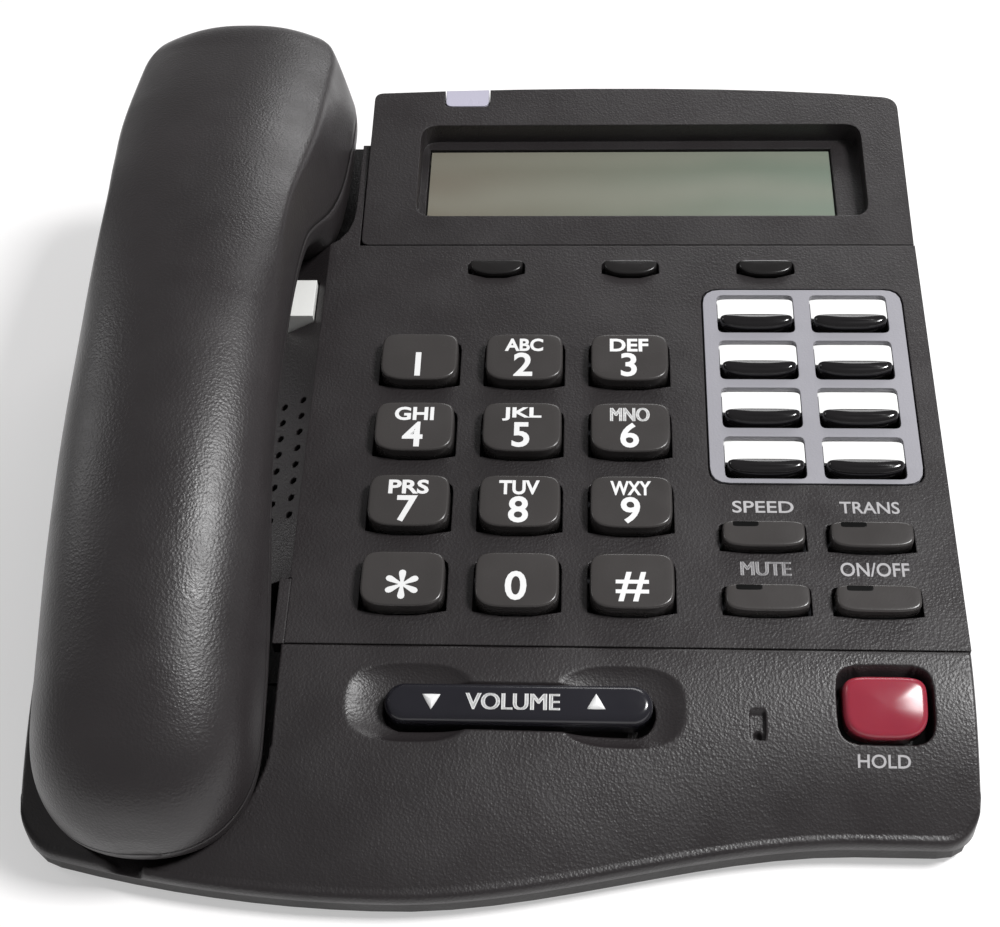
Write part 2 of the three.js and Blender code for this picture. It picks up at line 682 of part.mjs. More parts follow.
const handsetTop = reader([[0, 16], [3, 23], [8, 28.5], [16, 33.5], [28, 38.5], [48, 44.5],
  [75, 49.7], [103, 51.5], [131, 49.5], [165, 43.4], [189, 36.8], [200, 33.2], [206, 27]]);
const handsetBottom = reader([[0, 6.5], [3, 3], [8, 0.8], [13, 0.1], [18, 0], [40, 0], [45, 0.4],
  [49, 1.8], [54, 5.4], [64, 18], [76, 26], [103, 28], [130, 26], [140, 18.5], [146, 8.4],
  [151, 2.2], [155, 0.4], [159, 0], [192, 0], [197, 0.8], [201, 2.8], [206, 10]]);
const handsetParting = reader([[0, 9], [20, 12], [50, 19], [75, 34.5], [103, 37.5], [130, 35],
  [150, 23], [170, 17], [190, 14.5], [206, 13]]);
const gripWidth = reader([[0, 21.5], [30, 21.9], [50, 21.6], [75, 21], [103, 21], [130, 22],
  [145, 24], [158, 25.5], [170, 25.9], [190, 25.9], [206, 25.9]]);

function handsetHalfWidth(u) {
  const nose = 21.5;
  const tail = 20;
  if (u < nose) {
    const draw = ((nose - u) / nose) ** 2.4;
    return gripWidth(u) * Math.max(1 - draw, 0.16) ** (1 / 2.4);
  }
  if (u > HANDSET_LENGTH - tail) {
    const s = (u - HANDSET_LENGTH + tail) / tail;
    return gripWidth(u) * Math.max(1 - s ** 2.6, 0.12) ** (1 / 2.6);
  }
  return gripWidth(u);
}

// Superellipse sections strung along the handset, square-shouldered at the earpiece.
function handsetBody(inset, around, along) {
  const geometry = new THREE.CylinderGeometry(1, 1, 1, around, along);
  return solid(reshaped(geometry, (a, h, b) => {
    const share = 0.5 - 0.5 * Math.cos(Math.PI * (h + 0.5));
    const u = inset + (HANDSET_LENGTH - 2 * inset) * share;
    const power = THREE.MathUtils.lerp(2.3, 3.4, THREE.MathUtils.smoothstep(u, 90, 150));
    const low = handsetBottom(u) + inset;
    const high = handsetTop(u) - inset;
    const radius = Math.hypot(a, b);
    if (radius < 0.5) return [0, u, (low + high) / 2];
    const squared = (c) => Math.sign(c) * Math.abs(c) ** (2 / power);
    const half = handsetHalfWidth(u) - inset;
    return [half * squared(a), u, (low + high) / 2 + ((high - low) / 2) * squared(b)];
  }));
}

// The space above (or below) the parting line, moved by shift.
function besideParting(shift, up) {
  const line = [];
  for (let u = -4; u <= HANDSET_LENGTH + 4; u += 7) line.push([u, handsetParting(u) + shift]);
  line.push([HANDSET_LENGTH + 4, handsetParting(206) + shift]);
  const far = up ? 90 : -40;
  return solid(crosswise([[-4, far], ...line, [HANDSET_LENGTH + 4, far]].reverse(), -60, 60));
}

function handsetHalf(up) {
  const skin = cut(handsetBody(0, 24, 26), handsetBody(HANDSET_WALL, 16, 16));
  const socketHole = solid(block(-6, 6, -6, 8, 7.4, 17.1));
  return cut(skin.intersect(besideParting(up ? 0.15 : -0.15, up)), socketHole);
}

function grilleHoles(centre, ringRadius, count) {
  const holes = [solid(disc(0, centre, -5, 8, 0.9, 6))];
  for (let i = 0; i < count; i += 1) {
    const angle = (2 * Math.PI * i) / count;
    const x = ringRadius * Math.cos(angle);
    holes.push(solid(disc(x, centre + ringRadius * Math.sin(angle), -5, 8, 0.9, 6)));
  }
  return holes;
}

// ---- assembly -----------------------------------------------------------------------------

piece(telephone, 'bottom_housing', bottomHousing(), finishes.tray);
piece(telephone, 'upper_housing', upperHousing(), finishes.housing);
piece(telephone, 'front_panel', frontPanel(), finishes.housing);
FEET.forEach(([x, y], i) => piece(telephone, `foot_${i + 1}`, foot(x, y), finishes.rubber));
SCREWS.forEach(([x, y], i) => piece(telephone, `screw_${i + 1}`, screw(x, y), finishes.steel));

piece(deck, 'display_housing', displayHousing(), finishes.housing);
piece(deck, 'display_window', displayWindow(), finishes.window);
piece(deck, 'lcd_module', lcdModule(), finishes.lcd);
piece(deck, 'message_lamp', messageLamp(), finishes.lamp);
piece(deck, 'line_key_frame', lineKeyFrame(), finishes.frame);
piece(deck, 'label_sheet', labelSheet(), finishes.paper);
piece(deck, 'dial_mat', dialMat(), finishes.silicone);
piece(deck, 'side_mat', sideMat(), finishes.silicone);
piece(deck, 'main_board', mainBoard(), finishes.board);
piece(deck, 'loudspeaker', loudspeaker(), finishes.cone);
piece(deck, 'hook_plunger', hookPlunger(), finishes.whitePlastic);
piece(deck, 'hook_switch', hookSwitch(), finishes.socket);
piece(telephone, 'base_microphone', baseMicrophone(), finishes.steel);

const lineJack = piece(telephone, 'line_jack', jack(16, 13, 14), finishes.socket);
lineJack.position.set(28, BACK_Y - 0.5, 17);
const handsetJack = piece(telephone, 'handset_jack', jack(14, 12, 11), finishes.socket);
handsetJack.position.set(-WIDTH / 2 + 0.5, 24, 15);
handsetJack.rotation.z = Math.PI / 2;

// Each key stands in its opening on a flange that keeps it under the deck.
function addKey(name, x, front, size, shape, material, flangeZ) {
  const { width, depth, rise } = size;
  const outline = keyOutline(x, front, width, depth, shape.bow, shape.corner);
  const cap = keyCap(outline, rise, 0.3 - flangeZ, shape.bevel);
  const y = front + depth / 2;
  const halfX = width / 2 + 0.9;
  const halfY = depth / 2 + 0.9;
  const flange = block(x - halfX, x + halfX, y - halfY, y + halfY, flangeZ - 0.9, flangeZ);
  const body = joined(cap, solid(flange));
  piece(deck, name, shape.notch ? cut(body, shape.notch) : body, material);
}

const dialNames = [['star', '0', 'hash'], ['7', '8', '9'], ['4', '5', '6'], ['1', '2', '3']];
const dialSize = { width: KEY_WIDTH, depth: KEY_DEPTH, rise: KEY_RISE };
dialNames.forEach((names, row) => names.forEach((name, column) => {
  const x = DIAL_LEFT + column * KEY_PITCH_X;
  const front = DIAL_FRONT + row * KEY_PITCH_Y;
  const shape = { bow: 1.2, corner: 2.4, bevel: 0.6 };
  addKey(`key_${name}`, x, front, dialSize, shape, finishes.key, -2.6);
}));

for (let i = 0; i < 8; i += 1) {
  const x = LINE_COLUMNS[i % 2];
  const front = LINE_FRONT + (3 - Math.floor(i / 2)) * LINE_PITCH;
  const shape = { bow: 0.6, corner: 0.8, bevel: 0.5 };
  addKey(`line_key_${i + 1}`, x, front, LINE_KEY, shape, finishes.glossKey, -4.2);
}

const functionNames = [['speed_key', 'transfer_key'], ['mute_key', 'speaker_key']];
functionNames.forEach((names, row) => names.forEach((name, column) => {
  const x = FUNCTION_COLUMNS[column];
  const front = FUNCTION_FRONTS[row];
  const slotY = front + FUNCTION_KEY.depth - 0.9;
  const notch = solid(block(x - 6.2, x - 1.1, slotY - 1.1, slotY, FUNCTION_KEY.rise - 0.7, 6));
  const shape = { bow: 0.7, corner: 1.2, bevel: 0.5, notch };
  addKey(name, x, front, FUNCTION_KEY, shape, finishes.key, -2.6);
}));

SOFT_COLUMNS.forEach((x, i) => {
  const shape = { bow: 1.5, corner: 1.2, bevel: 0.4 };
  addKey(`soft_key_${i + 1}`, x, SOFT_FRONT, SOFT_KEY, shape, finishes.key, -2.6);
});

const holdGroup = new THREE.Group();
holdGroup.position.set(HOLD.x, HOLD.y, panelZ(HOLD.x, HOLD.y));
holdGroup.rotation.x = panelTilt(HOLD.x, HOLD.y);
telephone.add(holdGroup);
const holdOutline = keyOutline(0, -HOLD.depth / 2, HOLD.width, HOLD.depth, 1.2, 2);
const holdFlange = block(-9.2, 9.2, -7.4, 7.4, -4.4, -3.4);
const holdBody = joined(keyCap(holdOutline, HOLD.rise, 3.8, 0.8), solid(holdFlange));
piece(holdGroup, 'hold_key', holdBody, finishes.hold);

const volumeGroup = new THREE.Group();
volumeGroup.position.set(VOLUME.x, VOLUME.y, panelZ(VOLUME.x, VOLUME.y));
volumeGroup.rotation.x = panelTilt(VOLUME.x, VOLUME.y);
telephone.add(volumeGroup);
const pill = roundedRectangle(-VOLUME.width / 2, VOLUME.width / 2, -VOLUME.depth / 2,
  VOLUME.depth / 2, VOLUME.depth / 2);
piece(volumeGroup, 'volume_rocker', keyCap(pill, VOLUME.rise, 3, 0.8), finishes.glossKey);

piece(handset, 'handset_shell', handsetHalf(true), finishes.housing);
const cover = cut(handsetHalf(false), ...grilleHoles(172, 9, 8), ...grilleHoles(30, 4, 5));
piece(handset, 'handset_cover', cover, finishes.housing);
piece(handset, 'receiver_capsule', solid(disc(0, 172, 4.6, 11, 14.5, 24)), finishes.steel);
piece(handset, 'transmitter_capsule', solid(disc(0, 30, 3.6, 9, 5, 16)), finishes.steel);
const handsetSocket = piece(handset, 'handset_socket', jack(11.2, 12, 9), finishes.socket);
handsetSocket.position.set(0, 2.6, 12.3);
handsetSocket.rotation.z = Math.PI;

export default telephone;
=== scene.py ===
# A desk telephone, put together from its tray upwards: housings, key deck, display, keys and
# lettering, front panel, and last the handset in its cradle. Lengths are in metres, in the
# frame of the part; sizes written in millimetres are turned by the constant MM.

import bmesh
import bpy
import numpy as np
from mathutils import Matrix, Vector


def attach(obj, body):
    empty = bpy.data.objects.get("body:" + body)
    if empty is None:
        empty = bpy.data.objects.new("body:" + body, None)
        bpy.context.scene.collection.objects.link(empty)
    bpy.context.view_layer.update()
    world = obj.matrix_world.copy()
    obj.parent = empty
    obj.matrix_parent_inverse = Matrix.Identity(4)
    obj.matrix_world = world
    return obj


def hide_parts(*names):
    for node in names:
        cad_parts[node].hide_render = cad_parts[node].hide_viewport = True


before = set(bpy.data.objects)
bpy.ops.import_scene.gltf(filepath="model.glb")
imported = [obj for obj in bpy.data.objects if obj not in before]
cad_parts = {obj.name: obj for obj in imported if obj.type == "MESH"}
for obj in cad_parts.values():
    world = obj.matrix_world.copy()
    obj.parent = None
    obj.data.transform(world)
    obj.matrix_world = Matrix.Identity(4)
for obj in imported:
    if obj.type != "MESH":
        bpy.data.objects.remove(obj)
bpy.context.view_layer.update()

# ---- camera -------------------------------------------------------------------------------
# A camera with a short telephoto lens looks down at the telephone from the user's side. The
# three directions point to its right, to its top and to what it looks at.

MM = 0.001
camera_data = bpy.data.cameras.new("camera")
camera_data.sensor_width = 36
camera_data.lens = 59.4
camera_data.clip_start = 0.01
camera = bpy.data.objects.new("camera", camera_data)
across = Vector((0.99863, 0.04071, -0.03279))
upright = Vector((-0.0066, 0.7199, 0.6940))
aim = Vector((-0.05186, 0.69286, -0.71921))
camera.matrix_world = Matrix.Translation(Vector((16.89, -256.46, 284.28)) * MM) @ Matrix(
    (across, upright, -aim)).transposed().to_4x4()
bpy.context.scene.collection.objects.link(camera)
bpy.context.scene.camera = camera
bpy.context.scene.view_settings.view_transform = "Standard"

# ---- studio -------------------------------------------------------------------------------
# White seamless paper under the telephone, and soft lamps: the main one high on the user's
# right, a wide one behind the telephone and a strip on the left.


def soft_lamp(name, place, target, width, depth, watts):
    """A rectangular lamp at place, turned to face target."""
    lamp_data = bpy.data.lights.new(name, "AREA")
    lamp_data.shape = "RECTANGLE"
    lamp_data.size = width
    lamp_data.size_y = depth
    lamp_data.energy = watts
    lamp = bpy.data.objects.new(name, lamp_data)
    lamp.location = place
    lamp.rotation_euler = (Vector(target) - Vector(place)).to_track_quat("-Z", "Y").to_euler()
    bpy.context.scene.collection.objects.link(lamp)


soft_lamp("lamp_main", (0.52, -0.10, 0.85), (0, -0.03, 0.03), 0.2, 0.2, 10)
soft_lamp("lamp_back", (0.3, 1.0, 0.7), (0, 0, 0.03), 0.6, 0.4, 4)
soft_lamp("lamp_left", (-0.95, 0.25, 0.55), (-0.05, 0, 0.03), 0.3, 0.5, 1.5)

world = bpy.data.worlds.new("studio")
bpy.context.scene.world = world
world.use_nodes = True
world.node_tree.nodes["Background"].inputs["Color"].default_value = (1, 1, 1, 1)
world.node_tree.nodes["Background"].inputs["Strength"].default_value = 0.22

paper = bpy.data.materials.new("seamless_paper")
paper.use_nodes = True
paper_shader = paper.node_tree.nodes["Principled BSDF"]
paper_shader.inputs["Base Color"].default_value = (0.62, 0.61, 0.61, 1)
paper_shader.inputs["Roughness"].default_value = 0.9
paper_shader.inputs["Emission Color"].default_value = (1, 1, 1, 1)
paper_shader.inputs["Emission Strength"].default_value = 0.42
floor_mesh = bpy.data.meshes.new("floor")
floor_corners = [(-30, -30, 0), (30, -30, 0), (30, 30, 0), (-30, 30, 0)]
floor_mesh.from_pydata(floor_corners, [], [(0, 1, 2, 3)])
floor_mesh.materials.append(paper)
floor = bpy.data.objects.new("floor", floor_mesh)
bpy.context.scene.collection.objects.link(floor)

# ---- bottom tray --------------------------------------------------------------------------
# The tray closes the telephone from below. It is moulded in near-black plastic with a matt
# face, and four screws hold it to the upper housing.


def texture(tree, kind, scale, **settings):
    """A texture node of that kind on Object coordinates; scale is in cells per metre."""
    node = tree.nodes.new(kind)
    node.inputs["Scale"].default_value = scale
    for key, value in settings.items():
        node.inputs[key].default_value = value
    place = tree.nodes.new("ShaderNodeTexCoord")
    tree.links.new(place.outputs["Object"], node.inputs["Vector"])
    return node


def ranged(tree, source, low, high):
    """The source's 0.3 to 0.7 spread over low to high."""
    node = tree.nodes.new("ShaderNodeMapRange")
    node.inputs["From Min"].default_value = 0.3
    node.inputs["From Max"].default_value = 0.7
    node.inputs["To Min"].default_value = low
    node.inputs["To Max"].default_value = high
    tree.links.new(source, node.inputs["Value"])
    return node.outputs["Result"]


def moulded(name, colour, roughness, grain, cell=0.9, drift=0.12, specular=0.5, edge=0.0):
    """Moulded plastic. Cells of about cell millimetres with finer noise on them stand grain
    millimetres proud; slow noise shifts colour by drift and gloss by six hundredths. Edges are
    shaded as if rounded by edge millimetres."""
    material = bpy.data.materials.new(name)
    material.use_nodes = True
    tree = material.node_tree
    shader = tree.nodes["Principled BSDF"]
    shader.inputs["Specular IOR Level"].default_value = specular
    slow = texture(tree, "ShaderNodeTexNoise", 38, Detail=3.0)
    tint = tree.nodes.new("ShaderNodeValToRGB")
    tint.color_ramp.elements[0].position = 0.3
    tint.color_ramp.elements[1].position = 0.7
    tint.color_ramp.elements[0].color = (*[c * (1 - drift) for c in colour], 1)
    tint.color_ramp.elements[1].color = (*[c * (1 + drift) for c in colour], 1)
    tree.links.new(slow.outputs["Fac"], tint.inputs["Fac"])
    tree.links.new(tint.outputs["Color"], shader.inputs["Base Color"])
    handled = texture(tree, "ShaderNodeTexNoise", 90, Detail=4.0)
    gloss = ranged(tree, handled.outputs["Fac"], roughness - 0.06, roughness + 0.06)
    tree.links.new(gloss, shader.inputs["Roughness"])
    cells = texture(tree, "ShaderNodeTexVoronoi", 1000 / cell)
    fine = texture(tree, "ShaderNodeTexNoise", 1900 / cell, Detail=2.0)
    both = tree.nodes.new("ShaderNodeMath")
    both.operation = "ADD"
    tree.links.new(cells.outputs["Distance"], both.inputs[0])
    tree.links.new(fine.outputs["Fac"], both.inputs[1])
    bump = tree.nodes.new("ShaderNodeBump")
    bump.inputs["Strength"].default_value = 1.0
    bump.inputs["Distance"].default_value = grain * MM
    tree.links.new(both.outputs["Value"], bump.inputs["Height"])
    tree.links.new(bump.outputs["Normal"], shader.inputs["Normal"])
    if edge:
        rounded = tree.nodes.new("ShaderNodeBevel")
        rounded.samples = 4
        rounded.inputs["Radius"].default_value = edge * MM
        tree.links.new(rounded.outputs["Normal"], bump.inputs["Normal"])
    return material


def dress(node, material, crease=0.0):
    """Gives a CAD node its material. If crease isn't 0, faces that meet at less than that many
    degrees are shaded as one curved face."""
    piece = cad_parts[node]
    piece.data.materials.clear()
    piece.data.materials.append(material)
    piece.data.polygons.foreach_set("use_smooth", [crease > 0] * len(piece.data.polygons))
    if crease:
        weld = piece.modifiers.new("weld", "WELD")
        weld.merge_threshold = 1e-6
        split = piece.modifiers.new("split", "EDGE_SPLIT")
        split.split_angle = np.radians(crease)
        piece.modifiers.new("even", "WEIGHTED_NORMAL")


tray_plastic = moulded("tray_plastic", (0.014, 0.012, 0.012), 0.5, 0.03)
dress("bottom_housing", tray_plastic)
zinc = moulded("zinc", (0.36, 0.37, 0.38), 0.35, 0.01, cell=0.5)
zinc.node_tree.nodes["Principled BSDF"].inputs["Metallic"].default_value = 1.0
rubber = moulded("foot_rubber", (0.013, 0.013, 0.013), 0.85, 0.03)
for number in range(1, 5):
    dress(f"screw_{number}", zinc)
    dress(f"foot_{number}", rubber)

# ---- upper housing ------------------------------------------------------------------------
# One moulding makes the key deck, the cradle, the walls and the seat for the display. It is
# warm near-black plastic with a leathery grain from the mould.

housing_plastic = moulded("housing_plastic", (0.021, 0.018, 0.019), 0.38, 0.045, cell=0.6,
                          edge=0.4)
dress("upper_housing", housing_plastic, 24)

# ---- jacks, hook plunger and what lies inside -----------------------------------------------
# Black modular jacks in the left and back walls; a white plunger beside the grip; under the
# deck the board, silicone mats, loudspeaker, microphone and hook switch.

socket_plastic = moulded("socket_plastic", (0.008, 0.008, 0.008), 0.4, 0.01)
silicone = moulded("silicone", (0.09, 0.09, 0.10), 0.8, 0.01)
lacquer = moulded("board_lacquer", (0.015, 0.10, 0.035), 0.3, 0.02)
cone_paper = moulded("cone_paper", (0.02, 0.018, 0.014), 0.85, 0.04)
white_plastic = moulded("white_plastic", (0.80, 0.80, 0.78), 0.4, 0.01, drift=0.03, edge=0.4)
for node in ("line_jack", "handset_jack", "hook_switch"):
    dress(node, socket_plastic)
for node in ("dial_mat", "side_mat"):
    dress(node, silicone)
for node in ("base_microphone", "receiver_capsule", "transmitter_capsule"):
    dress(node, zinc)
dress("main_board", lacquer)
dress("loudspeaker", cone_paper)
dress("hook_plunger", white_plastic)

# ---- dial keys ----------------------------------------------------------------------------
# Twelve satin caps of dark grey moulded plastic, each standing on its own silicone dome. A
# cap has rounded corners, a flat face and a front edge that bows to the user.

DECK_TILT = np.radians(10)
DECK_ORIGIN = np.array([0.0, -57.0, 25.4])


def on_deck(points):
    """Points across, up the deck and out of it, in millimetres, turned by the deck's tilt
    about X and moved to the deck's front edge; metres come back."""
    x, y, w = np.moveaxis(np.asarray(points, float), -1, 0)
    turned = np.stack([x, y * np.cos(DECK_TILT) - w * np.sin(DECK_TILT),
                       y * np.sin(DECK_TILT) + w * np.cos(DECK_TILT)], -1)
    return (turned + DECK_ORIGIN) * MM


def closed_skin(name, rings, material):
    """Rings of points, one after another from end to end. Each joins the next by quads, and
    both ends close on the mean point of their ring."""
    rings = np.asarray(rings, float)
    count, around, _ = rings.shape
    points = np.vstack([rings.reshape(-1, 3), rings[0].mean(0), rings[-1].mean(0)])
    i, j = np.meshgrid(np.arange(count - 1), np.arange(around), indexing="ij")
    here, beside = i * around + j, i * around + (j + 1) % around
    quads = np.stack([here, beside, beside + around, here + around], -1).reshape(-1, 4)
    j = np.arange(around)
    first, last = count * around, count * around + 1
    tail = (count - 1) * around
    start = np.stack([np.full(around, first), (j + 1) % around, j], -1)
    end = np.stack([np.full(around, last), tail + j, tail + (j + 1) % around], -1)
    mesh = bpy.data.meshes.new(name)
    mesh.from_pydata(points.tolist(), [], quads.tolist() + start.tolist() + end.tolist())
    shaped = bmesh.new()
    shaped.from_mesh(mesh)
    bmesh.ops.recalc_face_normals(shaped, faces=shaped.faces)
    shaped.to_mesh(mesh)
    shaped.free()
    mesh.polygons.foreach_set("use_smooth", [True] * len(mesh.polygons))
    mesh.materials.append(material)
    piece = bpy.data.objects.new(name, mesh)
    bpy.context.scene.collection.objects.link(piece)
    return piece


def cap_outline(width, back, front, back_square, front_square, around=72):
    """Two superellipse halves on one line across: the far one reaches back by back, the near
    one forward by front, each with its own squareness."""
    turn = np.linspace(0, 2 * np.pi, around, endpoint=False)
    far = np.sin(turn) >= 0
    square = np.where(far, back_square, front_square)
    x = np.sign(np.cos(turn)) * np.abs(np.cos(turn)) ** (2 / square)
    y = np.abs(np.sin(turn)) ** (2 / square) * np.where(far, back, -front)
    return np.stack([x * width / 2, y], -1)


def cap_rings(outline, rise, below, shoulder, dish=0.0, taper=0.0):
    """The outline carried up from below, drawn in by taper, rolled over a quarter circle of
    radius shoulder and then shrunk to the middle of a face that sinks by dish."""
    half = np.abs(outline).max(0)
    middle = (outline.max(0) + outline.min(0)) * (0, 0.5)
    roll = np.linspace(0, np.pi / 2, 6)
    inset = np.concatenate([[0], taper + shoulder * (1 - np.cos(roll))])
    height = np.concatenate([[-below], rise - shoulder + shoulder * np.sin(roll)])
    walls = [np.column_stack([outline * (1 - i / half), np.full(len(outline), h)])
             for i, h in zip(inset, height)]
    face = walls[-1]
    for share in (0.85, 0.68, 0.5, 0.32, 0.14):
        ring = face * share + np.append(middle, 0) * (1 - share)
        ring[:, 2] = rise - dish * (1 - share ** 2)
        walls.append(ring)
    return np.array(walls)


KEY_PITCH = (23.0, 18.7)
KEY_CAP = (16.9, 7.0, 5.7)  # width, and how far a cap reaches back and forward
KEY_RISE = 3.5
DIAL_LEFT = -19.7
DIAL_FRONT = 6.9
key_plastic = moulded("key_plastic", (0.045, 0.041, 0.040), 0.27, 0.008, cell=0.5)
dial_rows = (("star", "0", "hash"), ("7", "8", "9"), ("4", "5", "6"), ("1", "2", "3"))
dial_places = {}
for row, names in enumerate(dial_rows):
    for column, key in enumerate(names):
        centre = (DIAL_LEFT + column * KEY_PITCH[0], DIAL_FRONT + row * KEY_PITCH[1])
        dial_places[key] = centre
        outline = cap_outline(*KEY_CAP, back_square=6, front_square=3.6)
        rings = cap_rings(outline, KEY_RISE, below=3.0, shoulder=0.55, taper=0.05)
        rings = rings + np.array([centre[0], centre[1] + KEY_CAP[2], 0])
        cap = closed_skin(f"cap_{key}", on_deck(rings), key_plastic)
        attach(cap, f"key_{key}")
        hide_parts(f"key_{key}")

# ---- lettering ----------------------------------------------------------------------------
# White print on the dial keys: a dial's digits and letters, star and hash. Each mark is a
# thin film of ink, printed on the finished cap and a little raised.

ink = moulded("white_ink", (0.80, 0.80, 0.80), 0.5, 0.004, cell=0.3, drift=0.04)
INK_LIFT = 0.03
STRIKE = 0.14


def lettering(name, words, box, height, place, body, bold=0.0, colour=ink):
    """Words in the plain built-in face, made a mesh, stretched to fill box = (left, right,
    bottom, top) at that height in millimetres, and put in the part's frame by place. Without
    a right they keep their own width and centre on left. Bold fattens the outline; the letter
    M can't take that, so its words are struck three times, STRIKE apart."""
    curve = bpy.data.curves.new(name, "FONT")
    curve.body = words
    curve.size = 1.0
    curve.offset = 0.0 if "M" in words else bold
    curve.extrude = 0.01
    curve.resolution_u = 4
    drawn = bpy.data.objects.new(name, curve)
    bpy.context.scene.collection.objects.link(drawn)
    bpy.context.view_layer.update()
    mesh = bpy.data.meshes.new_from_object(drawn.evaluated_get(
        bpy.context.evaluated_depsgraph_get()))
    bpy.data.objects.remove(drawn)
    points = np.zeros(len(mesh.vertices) * 3)
    mesh.vertices.foreach_get("co", points)
    points = points.reshape(-1, 3)
    low, high = points.min(0), points.max(0)
    left, right, bottom, top = box
    if "M" in words:
        right -= 2 * STRIKE
    scale = (top - bottom) / (high[1] - low[1])
    wide = scale if right is None else (right - left) / (high[0] - low[0])
    shift = left - wide * (high[0] + low[0]) / 2 if right is None else left - wide * low[0]
    flat = np.column_stack([points[:, 0] * wide + shift, (points[:, 1] - low[1]) * scale + bottom,
                            height + np.where(points[:, 2] > 0, INK_LIFT, -0.05)])
    mesh.vertices.foreach_set("co", place(flat).ravel())
    mended = bmesh.new()
    mended.from_mesh(mesh)
    bmesh.ops.remove_doubles(mended, verts=mended.verts, dist=1e-7)
    mended.to_mesh(mesh)
    mended.free()
    mesh.materials.clear()
    mesh.materials.append(colour)
    piece = bpy.data.objects.new(name, mesh)
    bpy.context.scene.collection.objects.link(piece)
    if "M" in words:
        struck = piece.modifiers.new("struck", "ARRAY")
        struck.count = 3
        struck.use_relative_offset = False
        struck.use_constant_offset = True
        struck.constant_offset_displace = (STRIKE * MM, 0, 0)
    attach(piece, body)
    return piece


dial_letters = {"2": "ABC", "3": "DEF", "4": "GHI", "5": "JKL", "6": "MNO", "7": "PRS",
                "8": "TUV", "9": "WXY"}
dial_marks = {"star": "*", "hash": "#"}
for key, (x, front) in dial_places.items():
    low, high = (1.5, 8.2) if key in ("star", "0", "hash") else (0.9, 7.3)
    if key in dial_marks:
        mark_box = (x - 3.3, x + 3.3, front + low, front + high)
        lettering(f"mark_{key}", dial_marks[key], mark_box, KEY_RISE, on_deck, f"key_{key}",
                  0.012)
    else:
        digit_box = (x - 0.2, None, front + low, front + high)
        lettering(f"digit_{key}", key, digit_box, KEY_RISE, on_deck, f"key_{key}", 0.02)
    if key in dial_letters:
        letter_box = (x - 4.3, x + 4.1, front + 7.7, front + 11.2)
        lettering(f"letters_{key}", dial_letters[key], letter_box, KEY_RISE, on_deck,
                  f"key_{key}", 0.03)

# ---- function keys ------------------------------------------------------------------------
# Four low bars at the lower right, in the same satin plastic as the dial keys. Each has the
# smoked lens of its lamp let into its face, and its name in grey print on the deck above it.

FUNCTION_KEYS = (("speed_key", "SPEED", 53.1, 22.0, (47.2, 59.8, 31.5, 34.4)),
                 ("transfer_key", "TRANS", 74.9, 22.0, (69.2, 81.4, 31.5, 34.4)),
                 ("mute_key", "MUTE", 53.1, 7.2, (48.2, 58.4, 16.6, 19.8)),
                 ("speaker_key", "ON/OFF", 74.9, 7.2, (68.2, 81.9, 16.6, 19.8)))
FUNCTION_CAP = (16.9, 3.0, 3.4)
FUNCTION_RISE = 2.5
grey_ink = moulded("grey_ink", (0.40, 0.39, 0.40), 0.6, 0.004, cell=0.3)
lamp_smoke = moulded("lamp_smoke", (0.004, 0.004, 0.004), 0.3, 0.0, cell=0.5, specular=0.15)
for node, word, x, front, word_box in FUNCTION_KEYS:
    outline = cap_outline(*FUNCTION_CAP, back_square=6, front_square=3.6)
    rings = cap_rings(outline, FUNCTION_RISE, below=3.0, shoulder=0.55, taper=0.15)
    rings = rings + np.array([x, front + FUNCTION_CAP[2], 0])
    cap = closed_skin(f"cap_{node}", on_deck(rings), key_plastic)
    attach(cap, node)
    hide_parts(node)
    outline = cap_outline(5.2, 0.6, 0.6, back_square=8, front_square=5, around=32)
    rings = cap_rings(outline, FUNCTION_RISE + 0.06, below=0, shoulder=0.05)
    rings = rings + np.array([x - 3.6, front + 5.3, 0])
    lens = closed_skin(f"lens_{node}", on_deck(rings), lamp_smoke)
    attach(lens, node)
    lettering(f"word_{node}", word, word_box, 0.0, on_deck, "base", 0.012, grey_ink)

# ---- soft keys ----------------------------------------------------------------------------
# Three thin crescents of satin black plastic under the display, proud of the deck by a
# little over a millimetre. Their faces are slightly domed.

SOFT_CAP = (12.2, 0.9, 3.2)
SOFT_FRONT = 94.8
soft_black = moulded("soft_key_black", (0.009, 0.008, 0.008), 0.24, 0.005, cell=0.5)
for number, x in enumerate((-3.9, 26.8, 57.5), start=1):
    outline = cap_outline(*SOFT_CAP, back_square=5, front_square=2.4)
    rings = cap_rings(outline, 1.4, below=3.0, shoulder=0.45, dish=-0.1, taper=0.1)
    rings = rings + np.array([x, SOFT_FRONT + SOFT_CAP[2], 0])
    cap = closed_skin(f"cap_soft_{number}", on_deck(rings), soft_black)
    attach(cap, f"soft_key_{number}")
    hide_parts(f"soft_key_{number}")

# ---- line keys, their frame and labels -------------------------------------------------------
# Eight polished black bars in a pale grey moulded frame that is let into the deck. A white
# paper label shows behind each bar, over the sheet of paper that lies under the frame.

